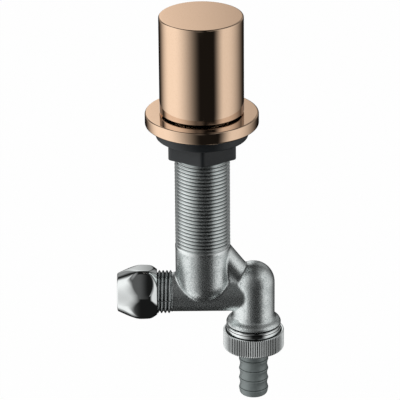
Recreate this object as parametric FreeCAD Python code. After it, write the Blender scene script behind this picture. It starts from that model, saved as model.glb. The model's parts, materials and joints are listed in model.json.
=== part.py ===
import FreeCAD, Part
import math
import os
from FreeCAD import Vector

# Kitchen shut-off valve, mounted in a worktop. Millimetres, +Z up.
# The origin is on the shank's axis in the plane of the worktop, under the rosette.
# The inlet points to -X, the outlet lies at +X, and the front is -Y.

# Standard pipe threads, by their outer diameter
shank_thread_d = 26.441
inlet_thread_d = 20.955
outlet_thread_d = 26.441
headwork_thread_d = 20.955

# Clearances
thread_gap = 0.05
running_gap = 0.05
seat_gap = 0.1
washer_gap = 0.4

# How far a cutting shape runs past the face it opens
past = 1.0

# Handle
handle_d = 40.0
handle_h = 47.5
handle_wall = 1.6
handle_top_wall = 2.0
handle_edge = 0.7
handle_lift = 0.9

# Rosette and its seal
rosette_d = 54.0
rosette_h = 6.0
rosette_edge = 0.6
seal_inset = 1.6
seal_w = 2.8
seal_h = 2.0

# Washer and nut below the worktop
clamp_washer_margin = 3.78
clamp_washer_h = 6.0
clamp_nut_wall = 2.78
clamp_nut_h = 9.0
clamp_edge = 0.5

# Shank of the casting
shank_above = 18.0
shank_below = 63.0
shank_bore_d = 21.4
thread_bevel = 1.0

# Barrel, inlet tube, branch and elbow of the casting
barrel_d = 26.6
inlet_depth = 88.3
barrel_end_rise = 8.4
tube_d = 18.8
inlet_reach = 33.0
inlet_thread_l = 18.4
inlet_bore_d = 11.0
outlet_offset = 24.4
elbow_d = 20.5
elbow_rise = 5.1
elbow_bore_d = 12.4
branch_d = 14.0
branch_bore_d = 9.0
branch_slope = 52.3
branch_drop = 6.3
branch_start = 3.3
branch_end = 4.7

# Outlet end of the casting
elbow_leg = 18.3
shoulder_h = 2.9
shoulder_bulge = 0.25
relief_h = 1.2
relief_w = 0.9
outlet_thread_l = 7.0

# Ceramic headwork, stacked up from its seat
seat_rise = 8.3
seat_bore_d = 10.4
chamber_d = 18.0
seat_seal_h = 2.0
seat_seal_lip = 0.5
sleeve_l = 16.6
sleeve_wall = 1.7
disc_h = 2.5
disc_gap = 0.02
fork_h = 8.0
fork_w = 6.0
fork_bite = 1.2
driver_h = 2.0
port_rim = 0.8
port_core_share = 0.25
port_web_share = 0.5
window_w = 8.0
headwork_thread_l = 8.0
headwork_hex_af = 17.0
headwork_hex_h = 6.0
headwork_ring_wire = 1.4
stem_d = 10.0
stem_ring_wire = 1.7
stem_ring_pitch = 3.4
clip_h = 0.8
clip_d = 13.2
clip_groove = 1.0
clip_opening = 70.0
spline_d = 9.2
spline_tooth = 0.6
spline_count = 20
stem_spline_l = 7.0

# Spindle, its bush and the hub of the handle
turned_edge = 0.6
spindle_d = 8.0
coupler_d = 15.0
coupler_floor = 3.0
spindle_top = 35.0
hub_spline_l = 11.0
bush_l = 12.0
bush_flange_h = 2.0
bush_flange_d = 25.0
hub_d = 18.0
hub_floor = 3.0
hub_lift = 2.0
friction_wire = 1.6
screw_d = 4.0
screw_l = 12.0
screw_head_d = 7.4
screw_head_h = 2.8
screw_slot_w = 1.2
screw_slot_l = 4.4
core_rib = 2.0
core_rib_count = 8
core_depth = 24.0

# Compression joint of the inlet
pipe_d = 12.0
pipe_gap = 0.15
pipe_socket_l = 11.0
compression_wall = 1.5225
compression_l = 19.2
compression_end_d = 18.3
compression_cone = 24.6
compression_chamfer = 40.0
compression_rim = 0.55
compression_mouth_l = 5.0
compression_turn = 10.6
compression_corner = 11.0
olive_wall = 1.5

# Hose joint of the outlet
union_d = 29.6
union_h = 9.2
union_lip_h = 1.6
union_edge = 0.8
knurl_count = 84
knurl_depth = 0.35
tail_flange_d = 24.4
tail_flange_h = 2.0
tail_washer_h = 1.6
tail_washer_d = 24.0
tail_bore_d = 9.4
tail_end_d = 13.8
tail_neck_d = 13.3
barb_d = 14.4
barb_pitch = 5.2
barb_count = 4
barb_step = 1.0
first_barb = 3.25
tail_l = 27.45
tail_tip = 1.6
tail_gap = 0.2

# Backflow preventer in the outlet
check_d = 16.8
check_gap = 0.1
check_l = 13.2
check_wall = 1.5
check_seat_d = 8.6
check_seat_h = 1.8
check_ring_wire = 1.0
check_ring_slack = 0.04
poppet_d = 10.8
poppet_h = 1.6
poppet_nose_h = 1.4
poppet_stem_d = 2.4
poppet_travel = 2.5
guide_h = 2.0
guide_hub_d = 5.6
guide_rim_w = 0.9
guide_spoke_w = 1.6
guide_spoke_count = 3
spring_d = 7.0
spring_wire = 0.6
spring_sides = 8
spring_turns = 3

UP = Vector(0, 0, 1)
LEFT = Vector(-1, 0, 0)

# Levels and axes that follow from the sizes above
inlet_z = -inlet_depth
elbow_z = inlet_z + elbow_rise
shoulder_z = elbow_z - elbow_leg
collar_z = shoulder_z - shoulder_h
outlet_end_z = collar_z - relief_h - outlet_thread_l
seat_z = inlet_z + seat_rise
sleeve_z = seat_z + seat_seal_h
fixed_disc_z = sleeve_z + seat_seal_lip
moving_disc_z = fixed_disc_z + disc_h + disc_gap
fork_z = moving_disc_z + disc_h
driver_z = fork_z + fork_h
ledge_z = sleeve_z + sleeve_l
headwork_thread_z = ledge_z + headwork_ring_wire
headwork_hex_z = headwork_thread_z + headwork_thread_l
headwork_top_z = headwork_hex_z + headwork_hex_h
stem_spline_z = headwork_top_z + clip_h + 2 * seat_gap
stem_top_z = stem_spline_z + stem_spline_l
handle_z = rosette_h + handle_lift
handle_top_z = handle_z + handle_h
hub_z = shank_above + bush_flange_h + hub_lift
hub_top_z = spindle_top + hub_floor
core_z = handle_top_z - handle_top_wall - core_depth
pipe_hole_r = pipe_d / 2 + pipe_gap
flange_z = outlet_end_z - tail_washer_h - tail_flange_h
union_z = flange_z - union_lip_h


def at(x, y, z):
    return Vector(x, y, z)


def rod(diameter, z_low, z_high, x=0.0):
    return Part.makeCylinder(diameter / 2, z_high - z_low, at(x, 0, z_low), UP)


def ring(outer_d, inner_d, z_low, z_high, x=0.0):
    return rod(outer_d, z_low, z_high, x).cut(rod(inner_d, z_low - past, z_high + past, x))


def turned(profile, x=0.0):
    """Turn a closed outline of (radius, height) points about the upright axis at x."""
    points = [at(x + r, 0, z) for r, z in profile]
    face = Part.Face(Part.makePolygon(points + points[:1]))
    return face.revolve(at(x, 0, 0), UP, 360)


def turned_along_inlet(profile):
    """Turn a closed outline of (distance towards the inlet, radius) points about its axis."""
    points = [at(-along, 0, inlet_z + r) for along, r in profile]
    face = Part.Face(Part.makePolygon(points + points[:1]))
    return face.revolve(at(0, 0, inlet_z), LEFT, 360)


def turned_arc(start, middle, end, x):
    """Turn an arc through three (radius, height) points, filled to the upright axis at x."""
    points = [at(x + r, 0, z) for r, z in (start, middle, end)]
    foot = at(x, 0, start[1])
    head = at(x, 0, end[1])
    edges = [Part.LineSegment(foot, points[0]).toShape(), Part.Arc(*points).toShape(),
             Part.LineSegment(points[2], head).toShape(), Part.LineSegment(head, foot).toShape()]
    return Part.Face(Part.Wire(edges)).revolve(at(x, 0, 0), UP, 360)


def rubber_ring(ring_d, wire, z, x=0.0):
    """Round-section ring; ring_d is measured at the middle of its wire."""
    return Part.makeTorus(ring_d / 2, wire / 2, at(x, 0, z), UP)


def hexagon(across_flats, z_low, z_high, corner_angle):
    radius = across_flats / math.sqrt(3)
    corners = []
    for i in range(6):
        angle = math.radians(corner_angle + 60 * i)
        corners.append(at(radius * math.cos(angle), radius * math.sin(angle), z_low))
    face = Part.Face(Part.makePolygon(corners + corners[:1]))
    return face.extrude(at(0, 0, z_high - z_low))


def toothed(outer_d, depth, count, z_low, z_high, x=0.0):
    """Prism whose outline has count pointed teeth, used for splines and the knurl."""
    outline = []
    for i in range(2 * count):
        radius = outer_d / 2 - (depth if i % 2 else 0)
        angle = math.pi * i / count
        outline.append(at(x + radius * math.cos(angle), radius * math.sin(angle), z_low))
    face = Part.Face(Part.makePolygon(outline + outline[:1]))
    return face.extrude(at(0, 0, z_high - z_low))


def round_edges(shape, radius, z, edge_r):
    """Round the circular edges of one radius at one height."""
    chosen = []
    for edge in shape.Edges:
        if isinstance(edge.Curve, Part.Circle):
            same_r = abs(edge.Curve.Radius - edge_r) < 0.001
            same_z = abs(edge.Curve.Center.z - z) < 0.001
            if same_r and same_z:
                chosen.append(edge)
    return shape.makeFillet(radius, chosen)


def handle_shell():
    shell = rod(handle_d, handle_z, handle_top_z)
    shell = round_edges(shell, handle_edge, handle_top_z, handle_d / 2)
    shell = round_edges(shell, handle_edge / 2, handle_z, handle_d / 2)
    hollow = rod(handle_d - 2 * handle_wall, handle_z - past, handle_top_z - handle_top_wall)
    return shell.cut(hollow)


def handle_core():
    """Plastic filling with a socket for the hub and eight ribs."""
    outer_d = handle_d - 2 * handle_wall
    outer = rod(outer_d, core_z, handle_top_z - handle_top_wall)
    socket_d = hub_d + 2 * seat_gap
    socket_top = hub_top_z + screw_head_h + 2 * seat_gap
    core = outer.cut(rod(socket_d, core_z - past, socket_top))
    pocket = ring(outer_d - 2 * core_rib, socket_d + 2 * core_rib, core_z - past, socket_top)
    for i in range(core_rib_count // 2):
        rib = Part.makeBox(handle_d, core_rib, handle_h, at(-handle_d / 2, -core_rib / 2, core_z - past))
        rib.rotate(at(0, 0, 0), UP, i * 360 / core_rib_count)
        pocket = pocket.cut(rib)
    core = core.cut(pocket)
    return core.cut(rubber_ring(hub_d, friction_wire, friction_z()))


def friction_z():
    return (core_z + hub_top_z) / 2


def handle_adapter():
    hub = rod(hub_d, hub_z, hub_top_z)
    hub = round_edges(hub, clamp_edge, hub_top_z, hub_d / 2)
    socket = toothed(spline_d + 2 * running_gap, spline_tooth, spline_count, hub_z - past, spindle_top)
    hub = hub.cut(socket)
    hub = hub.cut(rod(screw_d + 2 * seat_gap, spindle_top - past, hub_top_z + past))
    return hub.cut(rubber_ring(hub_d, friction_wire, friction_z()))


def adapter_screw():
    screw = rod(screw_d, hub_top_z - screw_l, hub_top_z)
    head = rod(screw_head_d, hub_top_z, hub_top_z + screw_head_h)
    head = round_edges(head, turned_edge, hub_top_z + screw_head_h, screw_head_d / 2)
    screw = screw.fuse(head)
    for turn in (0, 90):
        slot = Part.makeBox(screw_slot_l, screw_slot_w, screw_head_h,
                            at(-screw_slot_l / 2, -screw_slot_w / 2, hub_top_z + screw_head_h / 2))
        slot.rotate(at(0, 0, 0), UP, turn)
        screw = screw.cut(slot)
    return screw


def friction_ring():
    return rubber_ring(hub_d, friction_wire, friction_z())


def rosette():
    plate = rod(rosette_d, 0, rosette_h)
    plate = round_edges(plate, rosette_edge, rosette_h, rosette_d / 2)
    plate = round_edges(plate, rosette_edge, 0, rosette_d / 2)
    plate = plate.cut(rod(shank_thread_d + 2 * thread_gap, -past, rosette_h + past))
    groove_d = rosette_d - 2 * seal_inset
    return plate.cut(ring(groove_d, groove_d - 2 * seal_w, -past, seal_h))


def deck_seal():
    groove_d = rosette_d - 2 * seal_inset
    return ring(groove_d, groove_d - 2 * seal_w, 0, seal_h)


def clamp_washer():
    """Its rim lies a little outside the middle between the shank and the rosette's rim."""
    washer_d = (rosette_d + shank_thread_d) / 2 + clamp_washer_margin
    washer = ring(washer_d, shank_thread_d + 2 * washer_gap, -clamp_washer_h, 0)
    return round_edges(washer, clamp_edge, -clamp_washer_h, washer_d / 2)


def clamp_nut():
    top = -clamp_washer_h
    bottom = top - clamp_nut_h
    across_flats = shank_thread_d + 2 * clamp_nut_wall
    corner_r = across_flats / math.sqrt(3)
    nut = hexagon(across_flats, bottom, top, 90)
    bevel = corner_r - across_flats / 2
    blank_r = corner_r + clamp_edge
    blank = turned([(0, bottom), (corner_r - bevel / 2, bottom), (blank_r, bottom + bevel / 2),
                    (blank_r, top), (0, top)])
    nut = nut.common(blank)
    bore_r = shank_thread_d / 2 + thread_gap
    nut = nut.cut(rod(2 * bore_r, bottom - past, top + past))
    mouth_r = bore_r + thread_bevel + past
    mouth = turned([(0, bottom - past), (mouth_r, bottom - past), (bore_r, bottom + thread_bevel),
                    (0, bottom + thread_bevel)])
    return nut.cut(mouth)


def thread_bevelled(diameter, z_low, z_high, x, bevel_low, bevel_high):
    """Threaded length, drawn at its outer diameter with a bevel where it starts."""
    r = diameter / 2
    low = thread_bevel if bevel_low else 0
    high = thread_bevel if bevel_high else 0
    return turned([(0, z_low), (r - low, z_low), (r, z_low + low), (r, z_high - high),
                   (r - high, z_high), (0, z_high)], x)


def barrel():
    """Lower end of the shank, closed by a round bottom that sinks into the inlet tube."""
    r = barrel_d / 2
    centre_z = inlet_z + barrel_end_rise
    walls = rod(barrel_d, centre_z, -shank_below)
    return walls.fuse(Part.makeSphere(r, at(0, 0, centre_z)))


def cross_tube():
    reach = inlet_reach - inlet_thread_l
    tube = Part.makeCylinder(tube_d / 2, reach + outlet_offset, at(-reach, 0, inlet_z), Vector(1, 0, 0))
    r = inlet_thread_d / 2
    thread = turned_along_inlet([(reach, 0), (reach, tube_d / 2), (reach + r - tube_d / 2, r),
                                 (inlet_reach - thread_bevel, r), (inlet_reach, r - thread_bevel),
                                 (inlet_reach, 0)])
    return tube.fuse(thread)


def branch_point(x):
    """Point on the branch's axis at a distance x from the shank's axis."""
    slope = math.tan(math.radians(branch_slope))
    return at(x, 0, elbow_z - branch_drop + (outlet_offset - x) * slope)


def along_branch(diameter, x_start, x_end):
    start = branch_point(x_start)
    line = branch_point(x_end) - start
    return Part.makeCylinder(diameter / 2, line.Length, start, line)


def outlet_elbow():
    """Elbow, its leg, the round shoulder and the outlet thread."""
    r = elbow_d / 2
    collar_r = outlet_thread_d / 2
    dome = Part.makeSphere(r, at(outlet_offset, 0, elbow_z))
    leg = rod(elbow_d, shoulder_z, elbow_z, outlet_offset)
    middle_r = (r + collar_r) / 2 + shoulder_bulge
    middle_z = (shoulder_z + collar_z) / 2 + shoulder_bulge
    x = outlet_offset
    shoulder = turned_arc((r, shoulder_z), (middle_r, middle_z), (collar_r, collar_z), x)
    relief = rod(outlet_thread_d - 2 * relief_w, collar_z - relief_h, collar_z, x)
    thread = thread_bevelled(outlet_thread_d, outlet_end_z, collar_z - relief_h, x, True, True)
    return dome.multiFuse([leg, shoulder, relief, thread])


def water_ways():
    """Every hollow of the casting, from the shank's mouth to the outlet."""
    spindle_bore = rod(shank_bore_d, headwork_hex_z, shank_above + past)
    headwork_bore = rod(headwork_thread_d + 2 * thread_gap, ledge_z, headwork_hex_z)
    chamber = rod(chamber_d, seat_z, ledge_z)
    seat_bore = rod(seat_bore_d, inlet_z, seat_z)
    end_bore = Part.makeSphere(inlet_bore_d / 2, at(0, 0, inlet_z))
    pipe_end = inlet_reach - pipe_socket_l
    inlet_bore = turned_along_inlet([(0, 0), (0, inlet_bore_d / 2), (pipe_end, inlet_bore_d / 2),
                                     (pipe_end, pipe_hole_r), (inlet_reach - olive_wall, pipe_hole_r),
                                     (inlet_reach, pipe_hole_r + olive_wall),
                                     (inlet_reach + past, pipe_hole_r + olive_wall),
                                     (inlet_reach + past, 0)])
    branch_bore = along_branch(branch_bore_d, seat_bore_d / 2, outlet_offset - seat_gap)
    elbow_top = Part.makeSphere(elbow_bore_d / 2, at(outlet_offset, 0, elbow_z))
    elbow_bore = rod(elbow_bore_d, check_top_z(), elbow_z, outlet_offset)
    check_bore = rod(check_d + 2 * check_gap, outlet_end_z - past, check_top_z(), outlet_offset)
    return spindle_bore.multiFuse([headwork_bore, chamber, seat_bore, end_bore, inlet_bore,
                                   branch_bore, elbow_top, elbow_bore, check_bore])


def check_top_z():
    return outlet_end_z + check_l + 2 * check_gap


def valve_body():
    shank = thread_bevelled(shank_thread_d, -shank_below, shank_above, 0, False, True)
    branch = along_branch(branch_d, branch_start, outlet_offset - branch_end)
    casting = shank.multiFuse([barrel(), cross_tube(), branch, outlet_elbow()])
    return casting.cut(water_ways()).removeSplitter()


def guide_bush():
    bush = rod(shank_bore_d - 2 * running_gap, shank_above - bush_l, shank_above)
    flange = rod(bush_flange_d, shank_above, shank_above + bush_flange_h)
    flange = round_edges(flange, turned_edge, shank_above + bush_flange_h, bush_flange_d / 2)
    bush = bush.fuse(flange)
    return bush.cut(rod(spindle_d + 2 * running_gap, shank_above - bush_l - past, hub_z))


def spindle():
    socket_top = stem_top_z + seat_gap
    coupler_z = stem_spline_z + seat_gap
    coupler = rod(coupler_d, coupler_z, socket_top + coupler_floor)
    coupler = round_edges(coupler, turned_edge, socket_top + coupler_floor, coupler_d / 2)
    hub_spline = toothed(spline_d, spline_tooth, spline_count, spindle_top - hub_spline_l, spindle_top)
    shaft = rod(spindle_d, socket_top, spindle_top - hub_spline_l)
    bar = coupler.multiFuse([shaft, hub_spline])
    socket = toothed(spline_d + 2 * running_gap, spline_tooth, spline_count, coupler_z - past, socket_top)
    bar = bar.cut(socket)
    return bar.cut(rod(screw_d, hub_top_z - screw_l, spindle_top + past))


def headwork_body():
    hex_part = hexagon(headwork_hex_af, headwork_hex_z, headwork_top_z, 0)
    thread = thread_bevelled(headwork_thread_d, headwork_thread_z, headwork_hex_z, 0, True, True)
    sleeve_d = chamber_d - 2 * seat_gap
    sleeve = rod(sleeve_d, sleeve_z, headwork_thread_z)
    body = hex_part.multiFuse([thread, sleeve])
    disc_bore_d = sleeve_d - 2 * sleeve_wall
    body = body.cut(rod(disc_bore_d, sleeve_z - past, driver_z + driver_h + 3 * seat_gap))
    body = body.cut(rod(stem_d + 2 * running_gap, sleeve_z, headwork_top_z + past))
    window = Part.makeBox(chamber_d, window_w, fork_h, at(-chamber_d / 2, -window_w / 2, fork_z))
    return body.cut(window)


def headwork_ring():
    middle_d = (chamber_d + headwork_thread_d) / 2
    wire = min(headwork_ring_wire, (headwork_thread_d - chamber_d) / 2)
    return rubber_ring(middle_d, wire, ledge_z + headwork_ring_wire / 2)


def disc_d():
    return chamber_d - 2 * seat_gap - 2 * sleeve_wall - 2 * seat_gap


def half_port(z_low, z_high):
    """The two sector-shaped holes of a ceramic disc."""
    port = ring(disc_d() - 2 * fork_bite - 2 * port_rim, disc_d() * port_core_share, z_low, z_high)
    web_w = disc_d() * port_web_share
    web = Part.makeBox(disc_d(), web_w, z_high - z_low, at(-disc_d() / 2, -web_w / 2, z_low))
    return port.cut(web)


def fixed_disc():
    disc = rod(disc_d(), fixed_disc_z, fixed_disc_z + disc_h)
    return disc.cut(half_port(fixed_disc_z - past, fixed_disc_z + disc_h + past))


def fork_legs(z_low, z_high, gap):
    """The two flat tongues at the rim of the discs, on the Y axis."""
    outer = ring(disc_d() - 2 * gap, disc_d() - 2 * fork_bite - 2 * gap, z_low, z_high)
    return outer.common(fork_band(fork_w + 2 * gap, z_low, z_high))


def fork_band(width, z_low, z_high):
    """Bar along the Y axis, a little longer than the discs are wide."""
    length = disc_d() + 2 * past
    return Part.makeBox(width, length, z_high - z_low, at(-width / 2, -length / 2, z_low))


def moving_disc():
    disc = rod(disc_d(), moving_disc_z, moving_disc_z + disc_h)
    port = half_port(moving_disc_z - past, moving_disc_z + disc_h + past)
    port.rotate(at(0, 0, 0), UP, 90)
    disc = disc.cut(port)
    notch_d = disc_d() - 2 * fork_bite - 2 * seat_gap
    notch_z = moving_disc_z + disc_h / 2
    notch = fork_band(fork_w + 2 * seat_gap, notch_z, notch_z + disc_h)
    return disc.cut(notch.cut(rod(notch_d, moving_disc_z - past, moving_disc_z + disc_h + past)))


def headwork_stem():
    legs = fork_legs(moving_disc_z + disc_h / 2 + seat_gap, driver_z + driver_h / 2, 0.0)
    driver = rod(disc_d(), driver_z, driver_z + driver_h)
    shaft = rod(stem_d, driver_z + driver_h / 2, stem_spline_z)
    spline = toothed(spline_d, spline_tooth, spline_count, stem_spline_z, stem_top_z)
    stem = driver.multiFuse([shaft, spline] + legs.Solids)
    for z in stem_ring_levels():
        half_h = stem_ring_wire / 2 + seat_gap
        stem = stem.cut(ring(stem_d + past, stem_d - 2 * stem_ring_wire, z - half_h, z + half_h))
    clip_groove_h = clip_h + 2 * seat_gap
    return stem.cut(ring(stem_d + past, clip_bore_d() - 2 * running_gap, headwork_top_z,
                         headwork_top_z + clip_groove_h))


def stem_ring_levels():
    top = headwork_hex_z
    return [top - stem_ring_pitch * i for i in range(2)]


def stem_rings():
    middle_d = stem_d + running_gap - stem_ring_wire
    rings = [rubber_ring(middle_d, stem_ring_wire, z) for z in stem_ring_levels()]
    return Part.makeCompound(rings)


def clip_bore_d():
    return stem_d - 2 * clip_groove


def stem_clip():
    clip = ring(clip_d, clip_bore_d(), headwork_top_z + seat_gap, headwork_top_z + seat_gap + clip_h)
    half = math.radians(clip_opening / 2)
    far = clip_d
    z = headwork_top_z
    wedge = Part.Face(Part.makePolygon([at(0, 0, z), at(far * math.cos(half), far * math.sin(half), z),
                                        at(far * math.cos(half), -far * math.sin(half), z), at(0, 0, z)]))
    return clip.cut(wedge.extrude(at(0, 0, clip_h + 2 * seat_gap)))


def seat_seal():
    outer_r = chamber_d / 2 - seat_gap
    lip_r = disc_d() / 2
    inner_r = seat_bore_d / 2 + seat_gap
    return turned([(inner_r, seat_z), (outer_r, seat_z), (outer_r, sleeve_z), (lip_r, sleeve_z),
                   (lip_r, fixed_disc_z), (inner_r, fixed_disc_z)])


def compression_mouth():
    """Distance of the nut's open end from the shank's axis."""
    return inlet_reach - compression_turn + compression_l


def compression_nut():
    """Domed hexagon nut: a hexagon bar turned to a long cone and a chamfer."""
    mouth = compression_mouth()
    back = mouth - compression_l
    across_flats = inlet_thread_d + 2 * compression_wall
    corner_r = across_flats / math.sqrt(3)
    end_r = compression_end_d / 2
    rim_r = inlet_thread_d / 2 + compression_rim
    cone_l = (corner_r - end_r) / math.tan(math.radians(compression_cone))
    chamfer_l = (corner_r - rim_r) / math.tan(math.radians(compression_chamfer))
    blank = turned_along_inlet([(back, 0), (back, rim_r), (back + chamfer_l, corner_r),
                                (mouth - cone_l, corner_r), (mouth, end_r), (mouth, 0)])
    bar = hexagon(across_flats, 0, compression_l, 90 + compression_corner)
    bar.rotate(at(0, 0, 0), Vector(0, 1, 0), -90)
    bar.translate(at(-back, 0, inlet_z))
    nut = blank.common(bar)
    bore_r = inlet_thread_d / 2 + thread_gap
    floor = mouth - compression_mouth_l
    step = bore_r - pipe_hole_r
    bore = turned_along_inlet([(back - past, 0), (back - past, bore_r), (floor - step, bore_r),
                               (floor, pipe_hole_r), (mouth + past, pipe_hole_r), (mouth + past, 0)])
    return nut.cut(bore)


def olive():
    """Barrel-shaped compression ring, between the casting's cone and the nut's cone."""
    inner_r = pipe_d / 2 + pipe_gap / 2
    outer_r = inner_r + olive_wall
    start = inlet_reach - olive_wall + seat_gap
    end = compression_mouth() - compression_mouth_l - seat_gap
    return turned_along_inlet([(start, inner_r), (start, inner_r + seat_gap),
                               (start + olive_wall, outer_r), (end - olive_wall, outer_r),
                               (end, inner_r + seat_gap), (end, inner_r)])


def union_nut():
    """Ring nut with a straight knurl all round and an inner lip that holds the tail."""
    x = outlet_offset
    r = union_d / 2
    top = union_z + union_h
    knurled = toothed(union_d, knurl_depth, knurl_count, union_z, top, x)
    blank = turned([(0, union_z), (r - union_edge, union_z), (r, union_z + union_edge),
                    (r, top - union_edge / 2), (r - union_edge / 2, top), (0, top)], x)
    nut = knurled.common(blank)
    bore_r = outlet_thread_d / 2 + thread_gap
    nut = nut.cut(rod(2 * bore_r, flange_z, top + past, x))
    bevel = thread_bevel / 2
    mouth = turned([(0, top - bevel), (bore_r, top - bevel), (bore_r + bevel, top),
                    (bore_r + bevel, top + past), (0, top + past)], x)
    nut = nut.cut(mouth)
    return nut.cut(rod(barb_d + 2 * tail_gap, union_z - past, flange_z + past, x))


def barb(start_r, start_z, crest_z, x):
    """One barb: a cone that widens away from the tip up to its crest, then a short step back."""
    step_z = crest_z + barb_step
    return turned([(0, start_z), (start_r, start_z), (barb_d / 2, crest_z), (tail_neck_d / 2, step_z),
                   (0, step_z)], x)


def hose_tail():
    x = outlet_offset
    tip_z = flange_z - tail_l
    crest_z = tip_z + first_barb
    flange = rod(tail_flange_d, flange_z, flange_z + tail_flange_h, x)
    neck = rod(tail_neck_d, crest_z, flange_z, x)
    end = rod(tail_end_d, tip_z, crest_z, x)
    end = round_edges(end, tail_tip, tip_z, tail_end_d / 2)
    barbs = [barb(tail_end_d / 2, tip_z + tail_tip, crest_z, x)]
    for i in range(1, barb_count):
        start_z = crest_z + (i - 1) * barb_pitch + barb_step
        barbs.append(barb(tail_neck_d / 2, start_z, crest_z + i * barb_pitch, x))
    tail = flange.multiFuse([neck, end] + barbs)
    return tail.cut(rod(tail_bore_d, tip_z - past, flange_z + tail_flange_h + past, x)).removeSplitter()


def tail_washer():
    inner_d = tail_bore_d + 4 * seat_gap
    return ring(tail_washer_d, inner_d, flange_z + tail_flange_h, outlet_end_z, outlet_offset)


def check_housing():
    x = outlet_offset
    top = outlet_end_z + check_l
    housing = rod(check_d, outlet_end_z + check_gap, top, x)
    inner_d = check_d - 2 * check_wall
    housing = housing.cut(rod(inner_d, outlet_end_z - past, top - check_seat_h, x))
    housing = housing.cut(rod(check_seat_d, top - check_seat_h - past, top + past, x))
    groove_h = check_ring_wire + seat_gap
    groove = ring(check_d + past, check_d - 2 * check_ring_wire, check_ring_z() - groove_h / 2,
                  check_ring_z() + groove_h / 2, x)
    return housing.cut(groove)


def check_ring_z():
    return outlet_end_z + check_l - check_seat_h - check_ring_wire / 2


def check_ring():
    middle_d = check_d + 2 * check_gap - check_ring_wire
    return rubber_ring(middle_d, check_ring_wire - check_ring_slack, check_ring_z(), outlet_offset)


def poppet_top_z():
    return outlet_end_z + check_l - check_seat_h - disc_gap


def check_poppet():
    x = outlet_offset
    top = poppet_top_z()
    disc = rod(poppet_d, top - poppet_h, top, x)
    nose_top = top + poppet_nose_h
    nose = turned([(0, top), (check_seat_d / 2 - 3 * seat_gap, top), (poppet_stem_d / 2, nose_top),
                   (0, nose_top)], x)
    stem = rod(poppet_stem_d, guide_z() - seat_gap, top - poppet_h, x)
    return disc.multiFuse([nose, stem])


def guide_z():
    return outlet_end_z + check_gap + poppet_travel + seat_gap


def check_guide():
    """Spider that is snapped in the mouth of the cartridge and carries the spring."""
    x = outlet_offset
    inner_d = check_d - 2 * check_wall
    low = guide_z()
    rim = ring(inner_d, inner_d - 2 * guide_rim_w, low, low + guide_h, x)
    hub = rod(guide_hub_d, low, low + guide_h, x)
    spokes = []
    for i in range(guide_spoke_count):
        spoke = Part.makeBox((inner_d - guide_rim_w) / 2, guide_spoke_w, guide_h,
                             at(x, -guide_spoke_w / 2, low))
        spoke.rotate(at(x, 0, 0), UP, 360 / guide_spoke_count * i)
        spokes.append(spoke)
    spider = rim.multiFuse([hub] + spokes)
    return spider.cut(rod(poppet_stem_d + 2 * running_gap, low - past, low + guide_h + past, x))


def check_spring():
    """Open coil between the spider and the poppet; its round wire is drawn with flat sides."""
    low = guide_z() + guide_h + spring_wire / 2
    high = poppet_top_z() - poppet_h - spring_wire / 2 - disc_gap
    radius = (spring_d - spring_wire) / 2
    corners = []
    for i in range(spring_sides):
        angle = 2 * math.pi * (i + 0.5) / spring_sides
        corners.append(at(radius + spring_wire / 2 * math.cos(angle), 0, spring_wire / 2 * math.sin(angle)))
    path = Part.makeHelix((high - low) / spring_turns, high - low, radius)
    coil = Part.Wire(path).makePipeShell([Part.makePolygon(corners + corners[:1])], True, True)
    coil.translate(at(outlet_offset, 0, low))
    return coil


NODES = {
    "handle_shell": handle_shell, "handle_core": handle_core, "handle_adapter": handle_adapter,
    "adapter_screw": adapter_screw, "friction_ring": friction_ring, "rosette": rosette,
    "deck_seal": deck_seal, "clamp_washer": clamp_washer, "clamp_nut": clamp_nut,
    "valve_body": valve_body, "guide_bush": guide_bush, "spindle": spindle,
    "headwork_body": headwork_body, "headwork_ring": headwork_ring, "headwork_stem": headwork_stem,
    "stem_rings": stem_rings, "stem_clip": stem_clip, "moving_disc": moving_disc,
    "fixed_disc": fixed_disc, "seat_seal": seat_seal, "compression_nut": compression_nut,
    "olive": olive, "union_nut": union_nut, "hose_tail": hose_tail, "tail_washer": tail_washer,
    "check_housing": check_housing, "check_ring": check_ring, "check_poppet": check_poppet,
    "check_guide": check_guide, "check_spring": check_spring,
}

os.makedirs("parts", exist_ok=True)
for name, make in NODES.items():
    shape = make()
    shape.exportStep("parts/" + name + ".step")
    print(name, "solids", len(shape.Solids), "valid", shape.isValid(), "volume", round(shape.Volume, 1))
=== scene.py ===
import json
import math

import bmesh
import bpy
from mathutils import Matrix, Vector


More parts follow.
